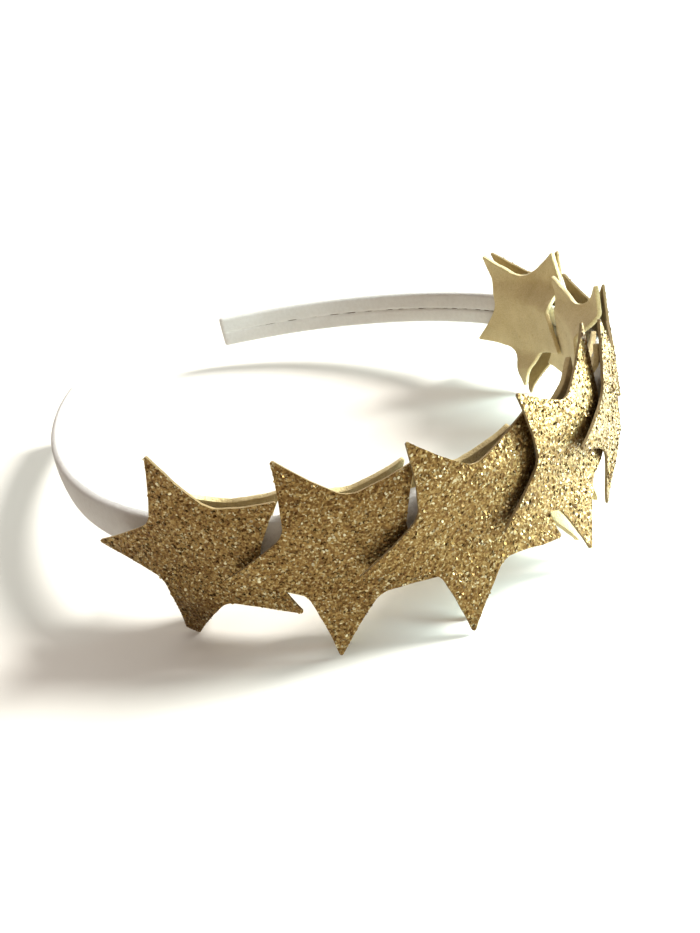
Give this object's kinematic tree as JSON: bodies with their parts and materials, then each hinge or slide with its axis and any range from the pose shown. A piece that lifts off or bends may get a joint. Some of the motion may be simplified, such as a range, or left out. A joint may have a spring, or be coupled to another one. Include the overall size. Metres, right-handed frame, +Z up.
{
  "type": "star headband",
  "caption": "Slim open headband with overlapping glitter-fabric stars along the crown, each backed by a felt star, worn over the head to hold and decorate the hair.",
  "frame": {"origin": "centre of the bounding box at the table the headband rests on", "axes": "+Z up from the table, -Y out through the middle of the starred crown, +Y through the open ends"},
  "size_m": [0.1436, 0.1558, 0.0474],
  "materials": {
    "satin": "ivory satin ribbon over a plastic spring band",
    "glitter": "gold chunky glitter fabric",
    "felt": "cream craft felt"
  },
  "bodies": {
    "root": {"band": "satin", "star_1_front": "glitter", "star_1_back": "felt", "star_2_front": "glitter", "star_2_back": "felt", "star_3_front": "glitter", "star_3_back": "felt", "star_4_front": "glitter", "star_4_back": "felt", "star_5_front": "glitter", "star_5_back": "felt", "star_6_front": "glitter", "star_6_back": "felt", "star_7_front": "glitter", "star_7_back": "felt"}
  },
  "joints": []
}
